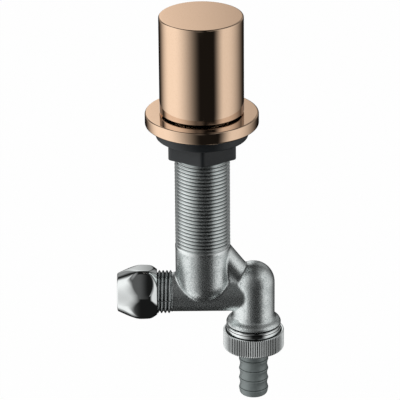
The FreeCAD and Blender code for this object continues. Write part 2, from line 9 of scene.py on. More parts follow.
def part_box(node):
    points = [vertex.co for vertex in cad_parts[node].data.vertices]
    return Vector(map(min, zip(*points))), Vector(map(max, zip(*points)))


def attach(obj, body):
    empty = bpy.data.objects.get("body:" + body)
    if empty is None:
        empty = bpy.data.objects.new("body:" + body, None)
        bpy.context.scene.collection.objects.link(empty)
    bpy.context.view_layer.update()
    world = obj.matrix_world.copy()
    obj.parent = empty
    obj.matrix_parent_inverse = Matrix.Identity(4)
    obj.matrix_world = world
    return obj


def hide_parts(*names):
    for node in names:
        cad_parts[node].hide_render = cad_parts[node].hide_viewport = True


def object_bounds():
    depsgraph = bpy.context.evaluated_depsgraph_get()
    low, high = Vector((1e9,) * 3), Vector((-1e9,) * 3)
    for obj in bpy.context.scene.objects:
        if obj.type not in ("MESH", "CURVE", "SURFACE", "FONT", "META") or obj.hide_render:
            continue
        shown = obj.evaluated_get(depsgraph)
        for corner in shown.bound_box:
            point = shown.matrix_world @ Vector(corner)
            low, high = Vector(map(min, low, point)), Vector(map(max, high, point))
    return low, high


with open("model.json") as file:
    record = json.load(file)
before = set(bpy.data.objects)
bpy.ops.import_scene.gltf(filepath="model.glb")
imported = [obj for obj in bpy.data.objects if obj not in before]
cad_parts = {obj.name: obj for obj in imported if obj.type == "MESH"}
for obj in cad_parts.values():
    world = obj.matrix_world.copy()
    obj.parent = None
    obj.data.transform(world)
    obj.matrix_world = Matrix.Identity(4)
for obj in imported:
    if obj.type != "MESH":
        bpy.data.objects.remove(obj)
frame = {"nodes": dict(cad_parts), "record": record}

cad_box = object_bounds()

MM = 0.001
PITCH = 1.814 * MM
TURN = 2 * math.pi


def middle(node):
    """Centre of a node's box."""
    low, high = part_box(node)
    return (low + high) / 2


# Places and sizes that several pieces share. The shank and the outlet have the same thread; play is the
# gap round a thread in its nut, and hair tells the points of an outer wall from those inside it.
shank_r = 13.2205 * MM
inlet_r = 10.4775 * MM
outlet_x = middle("union_nut").x
inlet_z = middle("compression_nut").z
thread_depth = 0.64 * PITCH
play = 0.05 * MM
hair = 0.01 * MM
shank_thread_end = -63.0 * MM
inlet_thread_start = 14.7 * MM
collar_top = -105.5 * MM
collar_end = -108.8 * MM


# Camera: the photograph looks straight at the front, from about 24 degrees above
view_elevation = math.radians(24.1)
view_roll = math.radians(-0.5)
view_distance = 1.4354
frame_pixels = 400
focal_pixels = 3000.0
aim = Vector((0, 0, -39.8 * MM))
aim_pixel = (202.5, 200.0)
sensor_mm = 36


def make_camera():
    back = Vector((0, -math.cos(view_elevation), math.sin(view_elevation)))
    right = Vector((1, 0, 0))
    up = back.cross(right)
    tilted_right = math.cos(view_roll) * right + math.sin(view_roll) * up
    tilted_up = math.cos(view_roll) * up - math.sin(view_roll) * right
    metres_per_pixel = view_distance / focal_pixels
    aside = (aim_pixel[0] - frame_pixels / 2) * metres_per_pixel
    down = (aim_pixel[1] - frame_pixels / 2) * metres_per_pixel
    place = aim + back * view_distance - tilted_right * aside + tilted_up * down
    data = bpy.data.cameras.new("photo_camera")
    data.sensor_width = sensor_mm
    data.lens = sensor_mm * focal_pixels / frame_pixels
    data.clip_start = 0.05
    data.clip_end = 50
    camera = bpy.data.objects.new("photo_camera", data)
    turn = Matrix((tilted_right, tilted_up, back)).transposed().to_4x4()
    camera.matrix_world = Matrix.Translation(place) @ turn
    bpy.context.scene.collection.objects.link(camera)
    bpy.context.scene.camera = camera


# Node helpers

def add(tree, kind, **settings):
    """A new node with its settings."""
    node = tree.nodes.new(kind)
    for name, value in settings.items():
        setattr(node, name, value)
    return node


def maths(tree, operation, *values, clamp=False):
    """One step of arithmetic on numbers and sockets."""
    node = add(tree, "ShaderNodeMath", operation=operation, use_clamp=clamp)
    for i, value in enumerate(values):
        if isinstance(value, (int, float)):
            node.inputs[i].default_value = value
        else:
            tree.links.new(value, node.inputs[i])
    return node.outputs[0]


def smooth(tree, value, low, high):
    """0 below low, 1 above high, and a soft step between."""
    node = add(tree, "ShaderNodeMapRange", interpolation_type="SMOOTHSTEP")
    tree.links.new(value, node.inputs["Value"])
    node.inputs["From Min"].default_value = low
    node.inputs["From Max"].default_value = high
    return node.outputs["Result"]


def times(tree, first, *others):
    """The product of numbers and sockets."""
    for other in others:
        first = maths(tree, "MULTIPLY", first, other)
    return first


def between(tree, value, rise, full, ebb, end):
    """0 up to rise, 1 from full to ebb, 0 again from end, and soft in between."""
    up = smooth(tree, value, rise, full)
    down = smooth(tree, value, ebb, end)
    return maths(tree, "SUBTRACT", up, down)


# Studio: soft panels all round with dark gaps between them

def make_world():
    """Panels for what the metals mirror, a little softer for diffuse light; the camera sees plain white."""
    world = bpy.data.worlds.new("studio")
    bpy.context.scene.world = world
    world.use_nodes = True
    tree = world.node_tree
    tree.nodes.clear()
    place = add(tree, "ShaderNodeTexCoord")
    parts = add(tree, "ShaderNodeSeparateXYZ")
    tree.links.new(place.outputs["Generated"], parts.inputs[0])
    x, y, z = parts.outputs
    towards_camera = times(tree, y, -1)
    degrees = 180 / math.pi
    azimuth = times(tree, maths(tree, "ARCTAN2", x, towards_camera), degrees)
    height = times(tree, maths(tree, "ARCSINE", z), degrees)
    aside = maths(tree, "ABSOLUTE", x)

    def panel(sideways, upwards, level):
        """Soft panel: its degrees to the right of the camera and above the horizon, and its brightness."""
        return times(tree, between(tree, azimuth, *sideways), between(tree, height, *upwards), level)

    left = panel((-156, -98, -78, -2), (-75, -55, 48, 58), 1.0)
    dark_behind = times(tree, smooth(tree, height, 4, 16), between(tree, azimuth, -200, -190, -134, -108))
    left = times(tree, left, maths(tree, "SUBTRACT", 1, dark_behind))
    right = panel((32, 64, 72, 154), (-46, -32, 40, 60), 0.78)
    low = panel((-116, -96, -60, -24), (-76, -66, -52, -42), 1.0)
    ahead_left = panel((-70, -30, -8, 12), (-21, 3, 60, 75), 0.09)
    strip = panel((-90, -40, 40, 90), (27, 34, 44, 56), 0.3)
    strip = times(tree, strip, smooth(tree, aside, 0.15, 0.4))
    above = times(tree, between(tree, height, 52, 62, 78, 88), smooth(tree, aside, 0.2, 0.5), 0.3)
    back = times(tree, smooth(tree, y, 0.25, 0.6), between(tree, height, -14, 3, 31, 45))
    slope = maths(tree, "ADD", times(tree, x, -6.3), 0.74, clamp=True)
    back = times(tree, back, slope, between(tree, x, -0.34, -0.2, 0.3, 0.45))
    wide = times(tree, smooth(tree, y, 0.55, 0.8), between(tree, height, -4, 12, 48, 64))
    wide = times(tree, wide, times(tree, smooth(tree, aside, 0.1, 0.25), 0.32))
    glow = left
    for part in (right, above, low, strip, ahead_left, back, wide):
        glow = maths(tree, "MAXIMUM", glow, part)
    least = 0.01
    glow = maths(tree, "ADD", glow, least)
    path = add(tree, "ShaderNodeLightPath")
    diffuse_share = 0.8
    diffuse_lift = 0.06
    camera_level = 1.0
    softer = maths(tree, "ADD", times(tree, glow, diffuse_share), diffuse_lift)
    diffuse = add(tree, "ShaderNodeMix", data_type="FLOAT")
    tree.links.new(path.outputs["Is Diffuse Ray"], diffuse.inputs["Factor"])
    tree.links.new(glow, diffuse.inputs["A"])
    tree.links.new(softer, diffuse.inputs["B"])
    seen = add(tree, "ShaderNodeMix", data_type="FLOAT")
    tree.links.new(path.outputs["Is Camera Ray"], seen.inputs["Factor"])
    tree.links.new(diffuse.outputs["Result"], seen.inputs["A"])
    seen.inputs["B"].default_value = camera_level
    light = add(tree, "ShaderNodeBackground")
    light.inputs["Color"].default_value = (1, 1, 1, 1)
    tree.links.new(seen.outputs["Result"], light.inputs["Strength"])
    out = add(tree, "ShaderNodeOutputWorld")
    tree.links.new(light.outputs[0], out.inputs["Surface"])


def make_lamp(name, place, size, power):
    """A square lamp aimed at the object, which no metal mirrors."""
    data = bpy.data.lights.new(name, "AREA")
    data.size = size
    data.energy = power
    lamp = bpy.data.objects.new(name, data)
    lamp.location = place
    lamp.rotation_mode = "QUATERNION"
    lamp.rotation_quaternion = (Vector(place) - aim).to_track_quat("Z", "Y")
    lamp.visible_glossy = False
    bpy.context.scene.collection.objects.link(lamp)


def make_floor():
    """A pale floor well below the object, which the camera sees as almost plain white."""
    mesh = bpy.data.meshes.new("floor")
    reach = 6.0
    drop = 60 * MM
    plain_share = 0.985
    z = cad_box[0].z - drop
    corners = [(-reach, -reach, z), (reach, -reach, z), (reach, reach, z), (-reach, reach, z)]
    mesh.from_pydata(corners, [], [(0, 1, 2, 3)])
    floor = bpy.data.objects.new("floor", mesh)
    bpy.context.scene.collection.objects.link(floor)
    floor.visible_glossy = False
    material = bpy.data.materials.new("pale_floor")
    material.use_nodes = True
    tree = material.node_tree
    tree.nodes.clear()
    paint = add(tree, "ShaderNodeBsdfDiffuse")
    paint.inputs["Color"].default_value = (0.9, 0.9, 0.9, 1)
    shine = add(tree, "ShaderNodeEmission")
    path = add(tree, "ShaderNodeLightPath")
    lift = add(tree, "ShaderNodeMixShader")
    share = times(tree, path.outputs["Is Camera Ray"], plain_share)
    tree.links.new(share, lift.inputs[0])
    tree.links.new(paint.outputs[0], lift.inputs[1])
    tree.links.new(shine.outputs[0], lift.inputs[2])
    out = add(tree, "ShaderNodeOutputMaterial")
    tree.links.new(lift.outputs[0], out.inputs["Surface"])
    mesh.materials.append(material)


# Effects that several finishes share

def new_group(name, inputs, outputs):
    group = bpy.data.node_groups.new(name, "ShaderNodeTree")
    for label, kind, value in inputs:
        socket = group.interface.new_socket(label, in_out="INPUT", socket_type=kind)
        socket.default_value = value
    for label, kind in outputs:
        group.interface.new_socket(label, in_out="OUTPUT", socket_type=kind)
    return group, add(group, "NodeGroupInput"), add(group, "NodeGroupOutput")


def object_noise(tree, scale, detail):
    """Noise that moves with the piece; scale is a socket."""
    place = add(tree, "ShaderNodeTexCoord")
    noise = add(tree, "ShaderNodeTexNoise")
    noise.inputs["Detail"].default_value = detail
    tree.links.new(place.outputs["Object"], noise.inputs["Vector"])
    tree.links.new(scale, noise.inputs["Scale"])
    return noise.outputs["Fac"]


def make_grain_group():
    """Fine grain with slow blotches: a height for bump and a mask that wanders about a half."""
    group, given, result = new_group(
        "fine_grain",
        [("Grain Scale", "NodeSocketFloat", 3000.0),
         ("Blotch Scale", "NodeSocketFloat", 90.0),
         ("Blotch Share", "NodeSocketFloat", 0.35)],
        [("Height", "NodeSocketFloat"), ("Mask", "NodeSocketFloat")])
    grain = object_noise(group, given.outputs["Grain Scale"], detail=4.0)
    blotch = object_noise(group, given.outputs["Blotch Scale"], detail=2.0)
    group.links.new(grain, result.inputs["Height"])
    mix = add(group, "ShaderNodeMix", data_type="FLOAT")
    group.links.new(given.outputs["Blotch Share"], mix.inputs["Factor"])
    group.links.new(grain, mix.inputs["A"])
    group.links.new(blotch, mix.inputs["B"])
    group.links.new(mix.outputs["Result"], result.inputs["Mask"])
    return group


def make_band_group():
    """A value between two limits, led by a mask: used for roughness."""
    group, given, result = new_group(
        "between_limits",
        [("Mask", "NodeSocketFloat", 0.5),
         ("Low", "NodeSocketFloat", 0.0),
         ("High", "NodeSocketFloat", 1.0)],
        [("Value", "NodeSocketFloat")])
    span = maths(group, "SUBTRACT", given.outputs["High"], given.outputs["Low"])
    sharp = smooth(group, given.outputs["Mask"], 0.3, 0.7)
    value = maths(group, "ADD", times(group, sharp, span), given.outputs["Low"])
    group.links.new(value, result.inputs["Value"])
    return group


def make_shade_group():
    """Mixes a main colour and a second one by a mask."""
    group, given, result = new_group(
        "two_shades",
        [("Mask", "NodeSocketFloat", 0.5),
         ("Main", "NodeSocketColor", (1, 1, 1, 1)),
         ("Second", "NodeSocketColor", (0, 0, 0, 1))],
        [("Color", "NodeSocketColor")])
    mix = add(group, "ShaderNodeMix", data_type="RGBA")
    group.links.new(smooth(group, given.outputs["Mask"], 0.35, 0.68), mix.inputs["Factor"])
    group.links.new(given.outputs["Main"], mix.inputs["A"])
    group.links.new(given.outputs["Second"], mix.inputs["B"])
    group.links.new(mix.outputs["Result"], result.inputs["Color"])
    return group


def make_groove_shade_group():
    """How open a surface is, for painted shade in grooves: 0 deep in a groove, 1 on a crest or a plain wall.
    """
    group, given, result = new_group(
        "painted_groove_shade",
        [("Reach", "NodeSocketFloat", 0.001),
         ("Closed", "NodeSocketFloat", 0.3),
         ("Open", "NodeSocketFloat", 0.9)],
        [("Mask", "NodeSocketFloat")])
    shut = add(group, "ShaderNodeAmbientOcclusion", samples=12)
    group.links.new(given.outputs["Reach"], shut.inputs["Distance"])
    span = add(group, "ShaderNodeMapRange", interpolation_type="LINEAR")
    group.links.new(shut.outputs["AO"], span.inputs["Value"])
    group.links.new(given.outputs["Closed"], span.inputs["From Min"])
    group.links.new(given.outputs["Open"], span.inputs["From Max"])
    group.links.new(span.outputs["Result"], result.inputs["Mask"])
    return group


grain_group = make_grain_group()
groove_shade_group = make_groove_shade_group()
band_group = make_band_group()
shade_group = make_shade_group()


def place_group(tree, group, **values):
    """A shared effect in a finish, with its inputs named with _ for a space."""
    node = add(tree, "ShaderNodeGroup")
    node.node_tree = group
    for name, value in values.items():
        socket = node.inputs[name.replace("_", " ")]
        if isinstance(value, (int, float, tuple)):
            socket.default_value = value
        else:
            tree.links.new(value, socket)
    return node


def finish_material(name, main, second, metallic, rough, grain_scale, blotch_scale, bump, grain_depth,
                    blotch_share=0.35, groove=None, edge=(1, 1, 1), mirrored=None):
    """Principled finish whose colour, roughness and bump come from the shared grain.

    main and second are its two shades, and rough the limits of its roughness. groove gives the reach, the
    closed and open ends and the darkest share of painted shade, which darkens the colour in grooves. edge is
    the tint of a metal seen at a glancing angle; where it is dark it paints shade on the rims. mirrored is a
    painted reflection: its colour seen in another piece.
    """
    material = bpy.data.materials.new(name)
    material.use_nodes = True
    tree = material.node_tree
    shader = tree.nodes["Principled BSDF"]
    grain = place_group(tree, grain_group, Grain_Scale=grain_scale, Blotch_Scale=blotch_scale,
                        Blotch_Share=blotch_share)
    shade = place_group(tree, shade_group, Mask=grain.outputs["Mask"], Main=(*main, 1), Second=(*second, 1))
    band = place_group(tree, band_group, Mask=grain.outputs["Mask"], Low=rough[0], High=rough[1])
    relief = add(tree, "ShaderNodeBump")
    relief.inputs["Strength"].default_value = bump
    relief.inputs["Distance"].default_value = grain_depth
    tree.links.new(grain.outputs["Height"], relief.inputs["Height"])
    colour = shade.outputs["Color"]
    # Painted shade: ambient occlusion darkens the colour in grooves and recesses.
    if groove:
        reach, closed, opened, darkest = groove
        mask = place_group(tree, groove_shade_group, Reach=reach, Closed=closed, Open=opened).outputs["Mask"]
        level = maths(tree, "ADD", times(tree, mask, 1 - darkest), darkest)
        painted_shade = add(tree, "ShaderNodeVectorMath", operation="SCALE")
        tree.links.new(colour, painted_shade.inputs[0])
        tree.links.new(level, painted_shade.inputs["Scale"])
        colour = painted_shade.outputs[0]
    # Painted reflection: rays mirrored off another piece see the mirrored colour, not the finish's own.
    if mirrored:
        path = add(tree, "ShaderNodeLightPath")
        painted_reflection = add(tree, "ShaderNodeMix", data_type="RGBA")
        tree.links.new(path.outputs["Is Glossy Ray"], painted_reflection.inputs["Factor"])
        tree.links.new(colour, painted_reflection.inputs["A"])
        painted_reflection.inputs["B"].default_value = (*mirrored, 1)
        colour = painted_reflection.outputs["Result"]
    tree.links.new(colour, shader.inputs["Base Color"])
    tree.links.new(band.outputs["Value"], shader.inputs["Roughness"])
    shader.inputs["Specular Tint"].default_value = (*edge, 1)
    tree.links.new(relief.outputs["Normal"], shader.inputs["Normal"])
    shader.inputs["Metallic"].default_value = metallic
    return material


# The gold's mirrored colour is a paler painted reflection.
red_gold = finish_material(
    "polished_red_gold", main=(0.93, 0.67, 0.48), second=(0.91, 0.65, 0.46), metallic=1.0,
    rough=(0.05, 0.08), grain_scale=900, blotch_scale=40, bump=0.02, grain_depth=0.01 * MM,
    edge=(0.79, 0.7, 0.64), mirrored=(0.84, 0.77, 0.72))
# Painted shade darkens the casting's colour in its recesses and round its joints.
cast_chrome = finish_material(
    "cast_dull_chrome", main=(0.90, 0.94, 0.935), second=(0.55, 0.6, 0.595), metallic=0.93,
    rough=(0.2, 0.34), grain_scale=1700, blotch_scale=160, bump=0.8, grain_depth=0.1 * MM,
    blotch_share=0.3, groove=(2.5 * MM, 0.3, 0.85, 0.35), edge=(0.9, 0.9, 0.9))
# Painted shade darkens the thread's colour in its roots; the near-black edge tint paints shade on its rims.
thread_chrome = finish_material(
    "thread_dull_chrome", main=(0.93, 0.975, 0.97), second=(0.8, 0.84, 0.835), metallic=0.95,
    rough=(0.14, 0.24), grain_scale=1800, blotch_scale=120, bump=0.05, grain_depth=0.01 * MM,
    groove=(1.0 * MM, 0.33, 0.77, 0.15), edge=(0.02, 0.02, 0.02))
# A darker copy of the thread's chrome for the inlet thread: painted shade, with painted shade in its roots
# and on its rims too.
inlet_shaded_chrome = finish_material(
    "inlet_chrome_painted_shade", main=(0.62, 0.65, 0.65), second=(0.5, 0.53, 0.53), metallic=0.93,
    rough=(0.18, 0.28), grain_scale=1800, blotch_scale=120, bump=0.05, grain_depth=0.01 * MM,
    groove=(1.0 * MM, 0.33, 0.77, 0.2), edge=(0.2, 0.2, 0.2))
bright_chrome = finish_material(
    "bright_chrome", main=(0.87, 0.9, 0.895), second=(0.85, 0.88, 0.875), metallic=1.0,
    rough=(0.04, 0.07), grain_scale=900, blotch_scale=60, bump=0.02, grain_depth=0.01 * MM,
    edge=(0.5, 0.5, 0.5))
# Painted shade darkens the colour to black deep in grooves, such as the knurl's flutes.
dull_chrome = finish_material(
    "satin_chrome", main=(0.945, 0.98, 0.975), second=(0.84, 0.875, 0.87), metallic=1.0,
    rough=(0.05, 0.1), grain_scale=2200, blotch_scale=140, bump=0.05, grain_depth=0.01 * MM,
    groove=(0.8 * MM, 0.62, 0.9, 0.0))
# Painted shade darkens the colour in grooves, such as the fine lines above the tail's barbs.
grey_plastic = finish_material(
    "grey_moulded_plastic", main=(0.278, 0.316, 0.313), second=(0.238, 0.275, 0.272), metallic=0.35,
    rough=(0.34, 0.44), grain_scale=2400, blotch_scale=120, bump=0.25, grain_depth=0.02 * MM,
    groove=(0.9 * MM, 0.45, 0.9, 0.08))
black_nylon = finish_material(
    "black_nylon", main=(0.018, 0.022, 0.025), second=(0.013, 0.016, 0.018), metallic=0.0,
    rough=(0.32, 0.45), grain_scale=2200, blotch_scale=130, bump=0.3, grain_depth=0.02 * MM)
rubber = finish_material(
    "black_rubber", main=(0.02, 0.02, 0.02), second=(0.03, 0.03, 0.03), metallic=0.0,
    rough=(0.6, 0.8), grain_scale=1600, blotch_scale=110, bump=0.3, grain_depth=0.02 * MM)
white_plastic = finish_material(
    "white_moulded_plastic", main=(0.72, 0.72, 0.69), second=(0.66, 0.66, 0.63), metallic=0.0,
    rough=(0.35, 0.5), grain_scale=1600, blotch_scale=110, bump=0.2, grain_depth=0.02 * MM)
brass = finish_material(
    "turned_brass", main=(0.76, 0.58, 0.27), second=(0.66, 0.47, 0.2), metallic=1.0,
    rough=(0.2, 0.35), grain_scale=1400, blotch_scale=110, bump=0.15, grain_depth=0.02 * MM)
steel = finish_material(
    "drawn_steel", main=(0.6, 0.6, 0.61), second=(0.5, 0.5, 0.51), metallic=1.0,
    rough=(0.2, 0.35), grain_scale=1400, blotch_scale=110, bump=0.15, grain_depth=0.02 * MM)
ceramic = finish_material(
    "lapped_ceramic", main=(0.86, 0.86, 0.83), second=(0.8, 0.8, 0.77), metallic=0.0,
    rough=(0.15, 0.25), grain_scale=900, blotch_scale=60, bump=0.05, grain_depth=0.01 * MM)

FINISHES = {"red_gold": red_gold, "cast_chrome": cast_chrome, "bright_chrome": bright_chrome,
            "dull_chrome": dull_chrome, "grey_plastic": grey_plastic, "black_nylon": black_nylon,
            "black_rubber": rubber, "white_plastic": white_plastic, "bare_brass": brass,
            "spring_steel": steel, "ceramic": ceramic}


def dress_solids():
    """Every solid that stays gets the finish of its slot."""
    slots = {row["node"]: row["material_slot"] for row in frame["record"]["subparts"]}
    for node, thing in frame["nodes"].items():
        thing.data.materials.clear()
        thing.data.materials.append(FINISHES[slots[node]])


# Mesh helpers

def mesh_piece(name, points, faces, material, body, replaced, sharp):
    """A piece from its points and faces, welded, with its faces turned outwards."""
    mesh = bpy.data.meshes.new(name)
    mesh.from_pydata(points, [], faces)
    work = bmesh.new()
    work.from_mesh(mesh)
    weld = 0.0005 * MM
    bmesh.ops.remove_doubles(work, verts=work.verts, dist=weld)
    bmesh.ops.dissolve_degenerate(work, edges=work.edges, dist=weld)
    bmesh.ops.recalc_face_normals(work, faces=work.faces)
    work.to_mesh(mesh)
    work.free()
    place_piece(name, mesh, material, body, replaced, sharp)


def place_piece(name, mesh, material, body, replaced, sharp):
    """Puts a mesh in the scene for the node it replaces; edges above sharp degrees stay sharp."""
    mesh.polygons.foreach_set("use_smooth", [True] * len(mesh.polygons))
    mesh.set_sharp_from_angle(angle=math.radians(sharp))
    mesh.materials.clear()
    mesh.materials.append(material)
    piece = bpy.data.objects.new(name, mesh)
    bpy.context.scene.collection.objects.link(piece)
    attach(piece, body)
    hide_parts(replaced)


def ring_faces(rows, columns):
    """Quads of a closed section turned round: rows go along the section, columns round the axis."""
    faces = []
    for i in range(rows):
        j = (i + 1) % rows
        for k in range(columns):
            m = (k + 1) % columns
            faces.append((i * columns + k, i * columns + m, j * columns + m, j * columns + k))
    return faces


def arc(centre, radius, start, end, steps):
    """Points of a round corner in the (radius, height) plane, from start to end degrees."""
    turns = [math.radians(start + (end - start) * i / steps) for i in range(steps + 1)]
    return [(centre[0] + radius * math.cos(turn), centre[1] + radius * math.sin(turn)) for turn in turns]


def crowned_top(inner, outer, height, crown, steps):
    """Points of a top that rises by crown from its outer radius to its inner one."""
    return [(inner + (outer - inner) * i / steps, height + crown * (1 - (i / steps) ** 2))
            for i in range(steps + 1)]


def upright(x):
    """Places (radius, angle, height) about an upright axis at x."""
    def place(r, angle, along):
        return (x + r * math.cos(angle), r * math.sin(angle), along)
    return place


def along_inlet(r, angle, along):
    """Places (radius, angle, distance towards the inlet) about the inlet's axis."""
    return (-along, -r * math.cos(angle), inlet_z + r * math.sin(angle))


def lathe(name, section, place, columns, material, body, replaced, shape=None, sharp=40):
    """A piece from a closed (radius, height) section; shape may change the radius by angle and height."""
    points = []
    for r, along in section:
        for k in range(columns):
            angle = TURN * k / columns
            radius = shape(r, angle, along) if shape else r
            points.append(place(radius, angle, along))
    faces = ring_faces(len(section), columns)
    mesh_piece(name, points, faces, material, body, replaced, sharp)


def make_handle():
    low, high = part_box("handle_shell")
    r = (high.x - low.x) / 2
    wall = 1.6 * MM
    roof = 2.0 * MM
    edge = 0.85 * MM
    crown = 0.16 * MM
    top = high.z - crown
    flat_r = r - edge
    wall_top = top - edge
    foot_r = edge / 2
    section = crowned_top(0.0, flat_r, top, crown, 24)
    section += arc((flat_r, wall_top), edge, 86, 0, 10)
    section += [(r, wall_top - (wall_top - low.z - foot_r) * i / 8) for i in range(1, 8)]
    section += arc((r - foot_r, low.z + foot_r), foot_r, 0, -90, 6)
    section += [(r - wall, low.z), (r - wall, high.z - roof), (0.0, high.z - roof)]
    lathe("handle_cap", section, upright(0), 256, red_gold, "handle", "handle_shell",
          sharp=50)


def make_rosette():
    low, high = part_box("rosette")
    r = (high.x - low.x) / 2
    edge = 0.85 * MM
    crown = 0.06 * MM
    bore = shank_r + play
    seal_low, seal_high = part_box("deck_seal")
    seal_r = (seal_high.x - seal_low.x) / 2
    seal_inner = seal_r - 2.8 * MM
    top = high.z - crown
    flat_r = r - edge
    section = crowned_top(bore, flat_r, top, crown, 16)
    section += arc((flat_r, top - edge), edge, 88, 0, 8)
    section += arc((flat_r, low.z + edge), edge, 0, -90, 8)
    section += [(seal_r, low.z), (seal_r, seal_high.z), (seal_inner, seal_high.z), (seal_inner, low.z)]
    section += [(bore, low.z)]
    lathe("rosette_plate", section, upright(0), 256, red_gold, "body", "rosette", sharp=50)


def soft_min(a, b, blend):
    """The smaller of two radii, with the edge between them rounded off."""
    h = max(0.0, min(1.0, 0.5 + 0.5 * (b - a) / blend))
    return b * (1 - h) + a * h - blend * h * (1 - h)


def hexagon_radius(across_flats, angle, corner, blend):
    """Radius at an angle of a hexagon bar with rounded corners, one of them at the corner's angle."""
    sector = math.pi / 3
    inside = abs((angle - corner) % sector - sector / 2)
    own = across_flats / 2 / math.cos(inside)
    next_one = across_flats / 2 / math.cos(sector - inside)
    return soft_min(own, next_one, blend)


def make_compression_nut():
    """Domed nut: a conical front, a chamfer at the back and flats that bulge a little between them."""
    low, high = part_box("compression_nut")
    front, back = -low.x, -high.x
    flats = 24.25 * MM
    corner = math.radians(11.0)
    corner_blend = 2.0 * MM
    end_r = 9.15 * MM
    cone = math.tan(math.radians(24.6))
    rim_r = inlet_r + 0.55 * MM
    chamfer = math.tan(math.radians(40.0))
    blend = 1.0 * MM
    crown = 0.25 * MM
    crown_at = front - 11.7 * MM
    crown_reach = 5 * MM

    def outside(r, angle, along):
        if r < rim_r - hair:
            return r
        bulge = crown * ((along - crown_at) / crown_reach) ** 2
        body_r = hexagon_radius(flats, angle, corner, corner_blend) - bulge
        body_r = soft_min(body_r, end_r + (front - along) * cone, blend)
        return soft_min(body_r, rim_r + (along - back) * chamfer, blend)

    bore = 6.15 * MM
    bore_edge = 0.3 * MM
    inner = inlet_r + play
    bore_floor = front - 5.0 * MM
    lip = 0.35 * MM
    steps = 120
    outer = rim_r + 1 * MM
    section = [(outer, back + (front - lip - back) * i / steps) for i in range(steps + 1)]
    rounded = arc((end_r - lip - play, front - lip), lip, 25, 90, 5)
    section += [(r, along) for r, along in rounded if r < rim_r - hair]
    section += [(bore + bore_edge, front), (bore, front - bore_edge), (bore, bore_floor)]
    section += [(inner, bore_floor - (inner - bore)), (inner, back)]
    lathe("compression_nut_chrome", section, along_inlet, 360, bright_chrome, "compression_nut",
          "compression_nut", outside, sharp=45)


def make_clamp_nut():
    low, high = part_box("clamp_nut")
    flats = 32.0 * MM
    corner = math.radians(90)
    corner_r = 18.2 * MM
    blend = 0.4 * MM
    wall_r = 17.0 * MM
    inner_limit = 15.5 * MM

    def outside(r, angle, along):
        if r < inner_limit:
            return r
        side = soft_min(hexagon_radius(flats, angle, corner, blend / 2), corner_r, blend)
        return side - (wall_r - r)

    bore = shank_r + play
    bore_edge = 1 * MM
    edge = 0.35 * MM
    section = [(bore + bore_edge, low.z)]
    section += arc((wall_r - edge, low.z + edge), edge, -90, 0, 4)
    section += arc((wall_r - edge, high.z - edge), edge, 0, 90, 4)
    section += [(bore, high.z), (bore, low.z + bore_edge)]
    lathe("clamp_nut_black", section, upright(0), 180, black_nylon, "clamp_nut", "clamp_nut",
          outside, sharp=45)


def make_clamp_washer():
    low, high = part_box("clamp_washer")
    r = (high.x - low.x) / 2
    bore_gap = 0.4 * MM
    bore = shank_r + bore_gap
    edge = 0.6 * MM
    top_edge = edge / 2
    section = [(bore, low.z)]
    section += arc((r - edge, low.z + edge), edge, -90, 0, 5)
    section += arc((r - top_edge, high.z - top_edge), top_edge, 0, 90, 4)
    section += [(bore, high.z)]
    lathe("clamp_washer_black", section, upright(0), 160, black_nylon, "clamp_washer",
          "clamp_washer", sharp=50)


def make_union_nut():
    low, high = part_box("union_nut")
    r = (high.x - low.x) / 2
    flutes = 84
    columns_per_flute = 8
    depth = 0.5 * MM
    crest_shape = 1.2
    edge = 0.8 * MM
    top_edge = edge / 2
    bore = shank_r + play
    bore_edge = 0.5 * MM
    flange = 2.0 * MM
    lip_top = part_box("hose_tail")[1].z - flange
    lip_bore = 7.4 * MM

    def knurled(radius, angle, along):
        if radius < r - edge - hair:
            return radius
        wave = abs(math.cos(flutes * angle / 2)) ** crest_shape
        near_edge = min((along - low.z) / edge, (high.z - along) / top_edge, 1.0)
        return radius - depth * (1 - wave) * max(0.0, near_edge)

    section = arc((r - edge, low.z + edge), edge, -90, 0, 6)
    section += [(r, low.z + edge + (high.z - low.z - 1.5 * edge) * i / 6) for i in range(1, 6)]
    section += arc((r - top_edge, high.z - top_edge), top_edge, 0, 90, 4)
    section += [(bore + bore_edge, high.z), (bore, high.z - bore_edge), (bore, lip_top)]
    section += [(lip_bore, lip_top), (lip_bore, low.z)]
    lathe("union_nut_ring", section, upright(outlet_x), flutes * columns_per_flute, dull_chrome, "union_nut",
          "union_nut", knurled, sharp=60)


def make_hose_tail():
    """Tail with four barbs: a hollow widens down to each crest, with a fine line just above the crest."""
    low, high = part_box("hose_tail")
    flange_r = (high.x - low.x) / 2
    flange_z = high.z - 2.0 * MM
    neck = 6.67 * MM
    crest = 7.2 * MM
    crest_round = 0.12 * MM
    shelf = 6.95 * MM
    barbs = 4
    pitch = 5.2 * MM
    hollow = 2.4 * MM
    first = low.z + 3.25 * MM
    line_z = 0.8 * MM
    line = 0.24 * MM
    line_up = 0.12 * MM
    line_down = 0.16 * MM
    line_foot = 0.24 * MM
    line_lip = 0.03 * MM
    end_r = 6.9 * MM
    tip = 1.6 * MM
    bore = 4.7 * MM
    bore_edge = 0.3 * MM
    fall = hollow - line_z - line_up
    rise = pitch - hollow
    section = [(bore, high.z), (flange_r, high.z), (flange_r, flange_z), (neck, flange_z)]
    for i in reversed(range(barbs)):
        crest_z = first + i * pitch
        section += [(neck + (shelf - neck) * (k / 6) ** 2, crest_z + hollow - fall * k / 6) for k in range(7)]
        section += [(shelf - line, crest_z + line_z + line_up),
                    (shelf - line, crest_z + line_z - line_down),
                    (shelf + line_lip, crest_z + line_z - line_foot)]
        section += arc((crest - crest_round, crest_z), crest_round, 40, -20, 3)
        if i:
            section += [(neck + (crest - neck) * (1 - k / 8) ** 2, crest_z - rise * k / 8)
                        for k in range(1, 8)]
    section += arc((end_r - tip, low.z + tip), tip, 0, -90, 8)
    section += [(bore + bore_edge, low.z), (bore, low.z + bore_edge)]
    lathe("hose_tail_grey", section, upright(outlet_x), 128, grey_plastic, "hose_tail",
          "hose_tail", sharp=35)


def limited(value):
    """The value held between 0 and 1."""
    return min(max(value, 0), 1)


